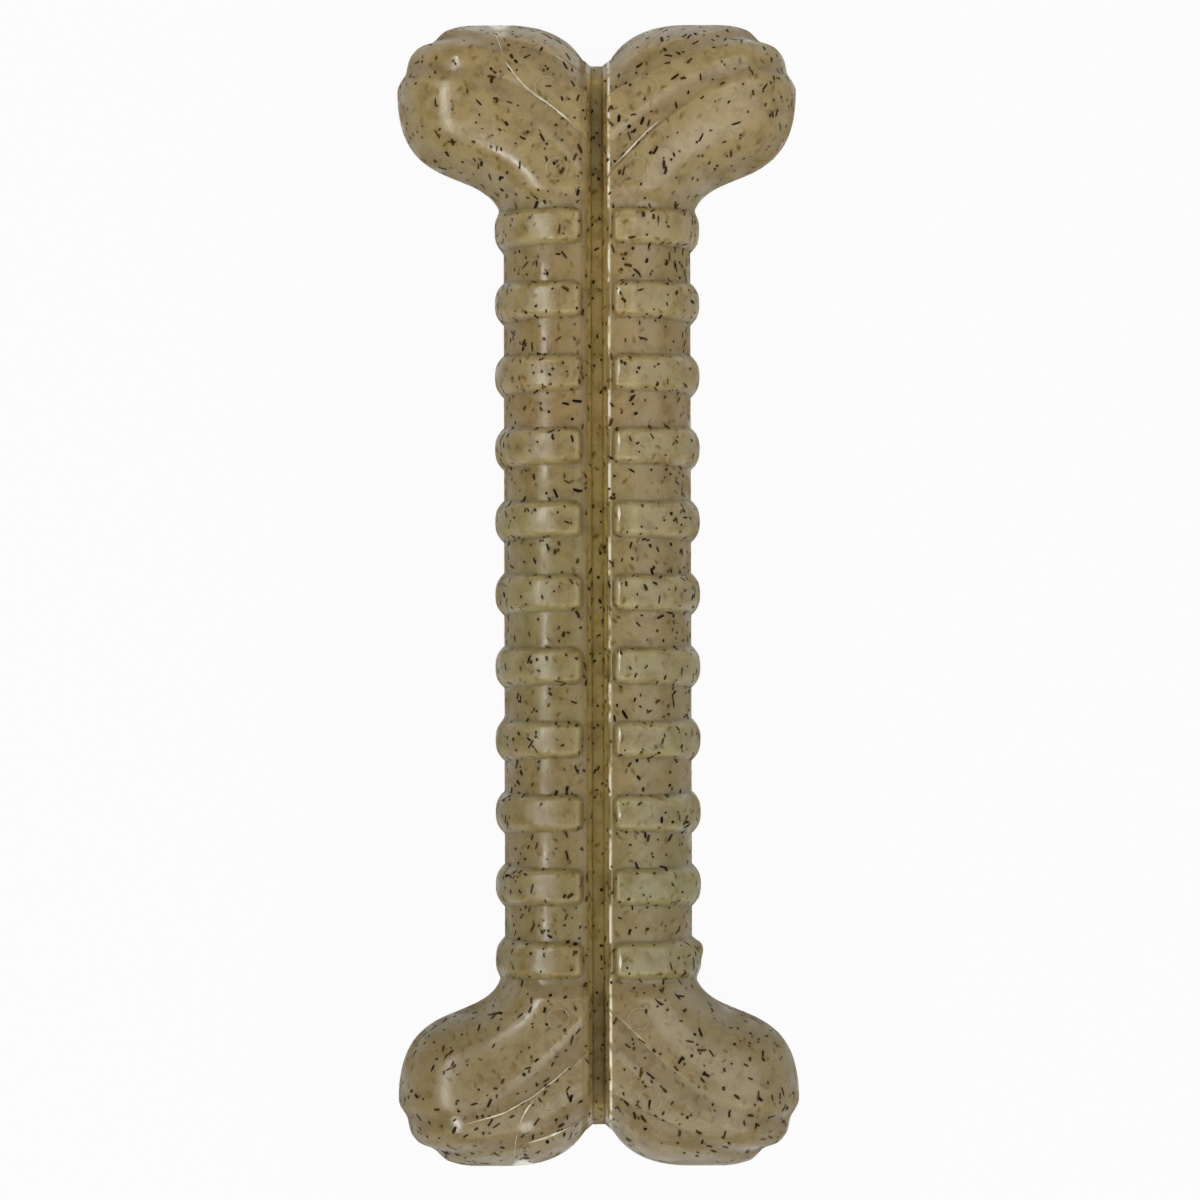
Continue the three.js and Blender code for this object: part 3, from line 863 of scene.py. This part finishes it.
# Where the zones of the finish start and end, in metres
KNUCKLE_ZONE = (0.056, 0.066)
END_ZONE = (-0.085, 0.085)
TOP_ZONE = (0.25 * REST_HEIGHT * MM, 0.75 * REST_HEIGHT * MM)
BESIDE_GROOVE = (0.0048, 0.0036)
RAIL_LIGHT_EDGES = ((0.0022, 0.0036), (0.0068, 0.0050))
LOBE_ZONE = (0.016, 0.023)
NYLON_IOR = 1.53


def blended(share, first, second, mode="MIX"):
    inputs = {0: share, 6: first, 7: second}
    tree = tree_of(share, first, second)
    return put(tree, "ShaderNodeMix", inputs, data_type="RGBA", blend_type=mode)[2]


def tinted(color, tint, share=1.0):
    return blended(share, color, tint, "MULTIPLY")


def deep_fleck_group():
    """Blurred flecks that lie under the surface: long soft ellipses, one to a cell, mostly along the bone."""
    tree, size, result = new_tree(
        "deep_flecks", "ShaderNodeTree", {"Place": "Vector"},
        ("Cells per metre", "Half length", "Half width", "Softness", "Share"), {"Mask": "Float"})
    cells = put(tree, "ShaderNodeTexVoronoi",
                {"Vector": size["Place"], "Scale": size["Cells per metre"], "Randomness": 1.0},
                voronoi_dimensions="3D", feature="F1")
    for_turn, for_share, for_strength = list(put(tree, "ShaderNodeSeparateColor", {0: cells["Color"]}))[:3]
    away = vector_calc("SUBTRACT", size["Place"], cells["Position"])
    turn = times(minus(for_turn, 0.5), 2.4)
    turned = put(tree, "ShaderNodeVectorRotate", {"Vector": away, "Angle": turn}, rotation_type="Z_AXIS")[0]
    stretch = joined(size["Half width"], size["Half length"], times(size["Half width"], 2.0))
    reach = put(tree, "ShaderNodeVectorMath", {0: vector_calc("DIVIDE", turned, stretch)}, operation="LENGTH")
    inner = minus(1.0, size["Softness"])
    mask = ranged(reach["Value"], 1.0, inner, interpolation_type="SMOOTHSTEP")
    drawn = calc("LESS_THAN", for_share, size["Share"])
    strength = plus(0.35, times(for_strength, 0.65))
    tree.links.new(times(mask, drawn, strength), result[0])
    return tree


def fine_scuff_group():
    """Fine scuffs along the bone: thin lines where a stretched noise crosses its middle value."""
    tree, size, result = new_tree(
        "fine_scuffs", "ShaderNodeTree", {"Place": "Vector"}, ("Fineness", "Turn", "Width"),
        {"Lines": "Float", "Grain": "Float"})
    turned = put(tree, "ShaderNodeVectorRotate", {"Vector": size["Place"], "Angle": size["Turn"]},
                 rotation_type="Z_AXIS")[0]
    grain = noise(vector_calc("MULTIPLY", turned, (1.0, 0.06, 1.0)), size["Fineness"], 3.0, 0.6)
    line = ranged(unsigned(minus(grain, 0.5)), size["Width"], 0.0)
    where = ranged(noise(turned, scale=160.0, detail=1.0), 0.56, 0.68)
    tree.links.new(times(line, where), result["Lines"])
    tree.links.new(grain, result["Grain"])
    return tree


DEEP_FLECKS, FINE_SCUFFS = deep_fleck_group(), fine_scuff_group()


def blank_finish(name):
    finish = bpy.data.materials.new(name)
    finish.use_nodes = True
    finish.node_tree.nodes.clear()
    return finish, finish.node_tree


def show(tree, shader):
    add_node(tree, "ShaderNodeOutputMaterial", {0: shader})


def attribute(tree, label):
    return put(tree, "ShaderNodeAttribute", attribute_name=label)["Fac"]


def nylon_zones(tree, place):
    """Where on the bone a point lies: shares from 0 to 1, and its distances in metres."""
    across, along, high = split(place)
    zone = SimpleNamespace(across=across, out=unsigned(across), along=unsigned(along))
    for label in ("rib", "valley", "lip_edge", "groove_wall", "pale"):
        setattr(zone, label, attribute(tree, label))
    zone.knuckle = ranged(zone.along, *KNUCKLE_ZONE)
    zone.right = calc("GREATER_THAN", across, 0.0)
    zone.far = ranged(along, *END_ZONE)
    zone.top = ranged(unsigned(minus(high, REST_HEIGHT * MM)), *TOP_ZONE)
    return zone


def body_color(place, zone, tans):
    """The nylon's clouded tans, with each zone's own, and painted light and shade: lighter and darker rib flanks, shade
    in the valleys, lighter groove walls, darker rims, a lighter right rail, and darker towards the near end.
    """
    plain_tan, warm, green = tans
    clouds = noise(place, scale=55.0, detail=2.0)
    color = blended(ranged(clouds, 0.35, 0.68), plain_tan, warm)
    wide = noise(vector_calc("ADD", place, (3.1, 1.7, 0.4)), scale=24.0, detail=1.0)
    color = blended(ranged(wide, 0.42, 0.66), color, green)
    # On the ribs the tan turns greener towards the near end, their own tone; painted light lays it on more strongly on
    # the right and towards the far end
    paler = ranged(calc("MAXIMUM", zone.right, zone.far), last=0.7)
    color = blended(times(zone.rib, paler), color, blended(zone.far, *RIB_TANS))
    # Painted light on the ribs' flanks out on the face, painted shade on their flanks beside the groove
    edge = times(zone.rib, minus(1.0, zone.rib))
    beside_groove = ranged(zone.out, *BESIDE_GROOVE)
    color = blended(edge, color, blended(beside_groove, *RIB_FLANK_LIGHT_AND_SHADE))
    # The knuckles' own tan, painted shade in the valleys and painted light on the groove's walls
    for share, strength, tone in ((zone.knuckle, 0.7, KNUCKLE_TAN), (zone.valley, 0.32, VALLEY_SHADE),
                                  (zone.groove_wall, 0.7, GROOVE_WALL_LIGHT)):
        color = blended(times(share, strength), color, tone)
    # Painted shade towards the near end, painted light towards the far end
    color = tinted(color, blended(zone.far, *END_SHADE_AND_LIGHT_TINTS))
    # Painted shade darkens the rims of the shaft and of the knuckles
    color = tinted(color, blended(zone.top, blended(zone.knuckle, *RIM_SHADE_TINTS), NO_TINT))
    # Painted light on the right rail beside the groove, away from the knuckles
    rail = minus(1.0, zone.knuckle)
    for edges in RAIL_LIGHT_EDGES:
        rail = times(rail, ranged(zone.across, *edges, interpolation_type="SMOOTHSTEP"))
    return tinted(color, RAIL_LIGHT_TINT, rail)


def flecked_color(place, color):
    """Stains, and blurred flecks at two depths with brown halos."""
    mottle = noise(place, scale=420.0, detail=4.0, roughness=0.65)
    color = blended(ranged(mottle, 0.46, 0.7, last=0.7), color, STAIN_BROWN)
    apart = vector_calc("ADD", place, (0.37, 0.11, 0.23))
    deep, shallow = [put(place.id_data, "ShaderNodeGroup", inputs, node_tree=DEEP_FLECKS)[0] for inputs in (
        {"Place": place, "Cells per metre": 430.0, "Half length": 0.00095, "Half width": 0.00045,
         "Softness": 0.85, "Share": 0.85},
        {"Place": apart, "Cells per metre": 560.0, "Half length": 0.0006, "Half width": 0.00028,
         "Softness": 0.55, "Share": 0.5})]
    color = tinted(color, HALO_TINT, ranged(calc("MAXIMUM", deep, shallow), high=0.5))
    for mask, tone in ((deep, DEEP_FLECK), (shallow, SHALLOW_FLECK)):
        color = blended(times(mask, 0.9), color, tone)
    return color


def wear_and_lip_light_color(place, zone, color, scuff_lines):
    """Scuffs; a whitened right lip that breaks off at ribs and valleys, partly wear and partly a painted highlight;
    painted shade on the left lip; and whitened spots.
    """
    color = blended(times(scuff_lines, 0.3), color, SCUFF_PALE)
    nicks = noise(vector_calc("MULTIPLY", place, (1.0, 0.4, 1.0)), scale=620.0, detail=3.0, roughness=0.7)
    half_pitch = RIB_PITCH * MM / 2
    beside_rib = calc("DIVIDE", calc("PINGPONG", zone.along, half_pitch), half_pitch)
    between_ribs = ranged(calc("MAXIMUM", beside_rib, zone.knuckle), 0.44, 0.52)
    on_slope = times(zone.valley, minus(1.0, zone.valley), 4.0)
    # The right lip is whitened: partly wear, partly a painted highlight of its rounding
    whitened = times(0.8, zone.lip_edge, zone.right, ranged(nicks, 0.4, 0.52), between_ribs,
                     minus(1.0, on_slope))
    color = blended(whitened, color, LIP_WHITE_AND_HIGHLIGHT)
    # Painted shade on the left lip, which faces away from the light
    shaded = times(zone.lip_edge, minus(1.0, zone.right), 0.6)
    color = blended(shaded, color, LIP_SHADE)
    return blended(zone.pale, color, SPOT_PALE)


def nylon_roughness(place, zone, grain):
    """Patchy gloss: rubbed ribs, a dull left lip, a bright right lip and hazy rims."""
    patches = noise(place, scale=280.0, detail=3.0)
    smooth = ranged(zone.knuckle, first=1.0, last=0.95)
    rubbed = ranged(grain, 0.54, 0.66, 1.0, 0.8)
    worn_side = ranged(zone.right, first=0.8, last=-0.5)
    lip_gloss = plus(1.0, times(zone.lip_edge, worn_side))
    rim_haze = ranged(zone.top, first=1.9, last=1.0)
    return times(ranged(patches, 0.3, 0.7, 0.15, 0.46), smooth, rubbed, lip_gloss, rim_haze)


def principled(name, inputs):
    """A material with one shader. Its inputs come from a function of the place on the object."""
    finish, tree = blank_finish(name)
    place = put(tree, "ShaderNodeTexCoord")["Object"]
    show(tree, put(tree, "ShaderNodeBsdfPrincipled", inputs(place))[0])
    return finish


def nylon_finish(name, tans, translucency=1.0, shine_level=0.5, knuckle_coat=0.6):
    """Translucent tan nylon, cloudy and slightly scuffed, with flecks under its surface, and painted light and shade in
    its colour.
    """
    def inputs(place):
        tree = place.id_data
        zone = nylon_zones(tree, place)
        scuffs = put(tree, "ShaderNodeGroup", {"Place": place, "Fineness": 2000.0, "Turn": 0.06, "Width": 0.012},
                     node_tree=FINE_SCUFFS)
        color = flecked_color(place, body_color(place, zone, tans))
        grain = times(scuffs["Grain"], zone.rib)
        out_on_lobe = ranged(zone.out, *LOBE_ZONE, 1.0, 0.4)
        fine = noise(place, scale=1500.0, detail=2.0)
        height = plus(times(fine, 0.88), times(grain, 0.12))
        return {
            "Base Color": wear_and_lip_light_color(place, zone, color, scuffs["Lines"]),
            "Roughness": nylon_roughness(place, zone, grain),
            "Coat Weight": times(zone.knuckle, knuckle_coat, out_on_lobe, minus(zone.top, zone.lip_edge)),
            "Coat Roughness": 0.2,
            "Normal": put(tree, "ShaderNodeBump", {"Strength": 0.12, "Distance": 0.0002, "Height": height})[0],
            "IOR": NYLON_IOR,
            "Specular IOR Level": shine_level,
            "Subsurface Weight": translucency,
            "Subsurface Radius": (1.0, 0.8, 0.5),
            "Subsurface Scale": 0.005,
        }
    return principled(name, inputs)


def weld_and_highlight_finish(name):
    """Pale nylon: whitened where two streams of melt met, and as painted highlights on petal edges and rib ends."""
    def inputs(place):
        worn = ranged(noise(place, scale=600.0, detail=2.0), 0.4, 0.6)
        return {"Base Color": blended(worn, *WELD_PALES), "Roughness": 0.3, "IOR": NYLON_IOR}
    return principled(name, inputs)


def fleck_finish(name):
    """Charred-looking fibre, from near black to dark brown, under a thin skin of nylon."""
    def inputs(place):
        pale = calc("POWER", attribute(place.id_data, "shade"), 1.2)
        grain = noise(place, scale=2600.0, detail=1.0)
        color = blended(times(grain, 0.2), blended(pale, *FIBRE_BROWNS), FIBRE_GRAIN)
        return {"Base Color": color, "Roughness": ranged(grain, first=0.32, last=0.5),
                "IOR": NYLON_IOR, "Specular IOR Level": 0.03}
    return principled(name, inputs)


def floor_finish(name):
    """A white table: bright to the camera and in reflections, yet it keeps the bone's soft shadow."""
    finish, tree = blank_finish(name)
    path = put(tree, "ShaderNodeLightPath")
    reflected = calc("MAXIMUM", path["Is Glossy Ray"], path["Is Transmission Ray"])
    seen = calc("MAXIMUM", path["Is Camera Ray"], reflected)
    matt = put(tree, "ShaderNodeBsdfDiffuse", {"Color": (0.46, 0.46, 0.46, 1)})[0]
    bright = put(tree, "ShaderNodeEmission", {"Color": (1, 1, 1, 1), "Strength": 1.0})[0]
    show(tree, put(tree, "ShaderNodeMixShader", {0: times(seen, 0.95), 1: matt, 2: bright})[0])
    return finish


# Assembly

nylon = nylon_finish("flecked_nylon", SIDE_TANS)
pad_nylon = nylon_finish("pad_nylon", SIDE_TANS, translucency=0.0)
# The strip is a copy of the nylon painted paler: painted light that lifts the shade in the groove
groove_nylon = nylon_finish("groove_nylon", GROOVE_LIGHTENED_TANS, shine_level=0.15, knuckle_coat=0.0)
fibre = fleck_finish("dark_fibre")
# The finish of the weld lines and of the pale ridges that paint highlights
weld = weld_and_highlight_finish("weld_and_highlight_line")

ribs, flecks, pressed = rib_tree(), fleck_tree(), pressed_tree()
chips = chip_shapes()
rib_sizes = {"Count": RIB_COUNT, "Pitch": RIB_PITCH * MM, "Length": RIB_LENGTH * MM, "Height": RIB_HEIGHT * MM,
             "Setback": RIB_SETBACK * MM, "Rounding": RIB_ROUND * MM, "Rim rounding": RIB_ROUND_RIM * MM,
             "Corner": RIB_CORNER * MM, "Middle height": REST_HEIGHT * MM, "Wear place": WEAR_X * MM,
             "Wear reach": WEAR_REACH * MM, "Wear": WEAR_SHARE, "Finish": nylon}
fleck_sizes = {"Chips": chips, "Per square metre": 1.85e5, "Shortest": 0.4 * MM, "Spread": 1.5 * MM,
               "Narrowest": 0.33 * MM, "Thickness": 0.03 * MM, "Finish": fibre}
strip_fleck_sizes = {**fleck_sizes, "Seed": 21, "Shortest": 0.35 * MM, "Spread": 0.8 * MM}

plain = plain_skin()
for name, sign, seed, walls, pad_height in (("left_side", -1, 5, (SOFT_WALL, CRISP_WALL), 0.07),
                                            ("right_side", 1, 8, (CRISP_WALL, SOFT_WALL), 0.02)):
    base = side_base(f"{name}_base", sign, *side_skin(*plain, walls))
    side = grow(base, ribs, rib_sizes, f"{name}_nylon")
    side.data.set_sharp_from_angle(angle=math.radians(60))
    specks = grow(side, flecks, {**fleck_sizes, "Seed": seed}, f"{name}_flecks")
    bpy.data.objects.remove(base)
    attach(side, "root")
    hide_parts(name)
    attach(specks, "root")
    hand = name.split("_")[0]
    for label, bands, lifts, finish, thickness in (
            (f"{hand}_ejector_pads", pad_bands(sign), PAD_LIFTS, pad_nylon, pad_height),
            (f"{hand}_weld_lines", weld_and_highlight_bands(name), WELD_LIFTS, weld, WELD_HEIGHT)):
        flat = mark_piece(f"{label}_flat", bands, lifts)
        mark = grow(flat, pressed, {"Skin": side, "Finish": finish, "Thickness": thickness * MM}, label)
        bpy.data.objects.remove(flat)
        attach(mark, "root")

strip = strip_mesh("centre_strip_nylon")
strip.data.materials.append(groove_nylon)
strip_flecks = grow(strip, flecks, strip_fleck_sizes, "centre_strip_flecks")
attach(strip, "root")
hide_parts("centre_strip")
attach(strip_flecks, "root")
for chip in list(chips.objects):
    bpy.data.objects.remove(chip)
bpy.data.collections.remove(chips)


# Table, light and camera, in metres

TABLE_HALF, TABLE_Z = 3.0, -0.0002
LIGHT_AIM = (0, 0, 0.01)
SKY_LOW, SKY_HIGH, SKY_RIGHT = 0.36, 0.56, 0.2
CAMERA_AIM = Vector((0.00035, -0.0009, 0.0123))
CAMERA_OFFSET = Vector((0, -0.017, 0.76))
CAMERA_ROLL = -0.0024
SENSOR_MM = 36.0
VIEW_WIDTH = 0.1875


def table():
    corners = [(x * TABLE_HALF, y * TABLE_HALF, TABLE_Z) for x, y in ((-1, -1), (1, -1), (1, 1), (-1, 1))]
    mesh = bpy.data.meshes.new("table")
    mesh.from_pydata(corners, [], [(0, 1, 2, 3)])
    mesh.materials.append(floor_finish("white_table"))
    made = new_piece("table", mesh)


def lamp(name, place, width, height, power):
    light = bpy.data.lights.new(name, "AREA")
    light.shape = "ELLIPSE"
    light.size, light.size_y, light.energy = width, height, power
    made = new_piece(name, light)
    made.location = place
    made.rotation_euler = (Vector(LIGHT_AIM) - Vector(place)).to_track_quat("-Z", "Y").to_euler()


def sky():
    """A pale surround, lighter above and on the right."""
    world = bpy.data.worlds.new("studio")
    bpy.context.scene.world = world
    world.use_nodes = True
    tree = world.node_tree
    background = tree.nodes["Background"].inputs
    background["Color"].default_value = (1, 1, 1, 1)
    across, _, up = split(put(tree, "ShaderNodeTexCoord")["Generated"])
    strength = plus(ranged(up, first=SKY_LOW, last=SKY_HIGH), times(across, SKY_RIGHT))
    tree.links.new(strength, background["Strength"])


def photo_camera():
    data = bpy.data.cameras.new("camera")
    data.sensor_width = SENSOR_MM
    made = new_piece("camera", data)
    made.location = CAMERA_AIM + CAMERA_OFFSET
    data.lens = SENSOR_MM * (made.location - CAMERA_AIM).length / VIEW_WIDTH
    made.rotation_mode = "QUATERNION"
    facing = (CAMERA_AIM - made.location).to_track_quat("-Z", "Y")
    made.rotation_quaternion = facing @ Quaternion((0, 0, 1), CAMERA_ROLL)
    bpy.context.scene.camera = made


table()
sky()
lamp("window", (-0.74, 0.0, 0.68), 1.7, 0.12, 5.1)
lamp("front", (0.0, -0.95, 1.05), 2.4, 1.3, 5.9)
lamp("fill", (0.8, 0.0, 1.0), 2.0, 1.2, 6.3)
photo_camera()
bpy.context.scene.view_settings.view_transform = "Standard"
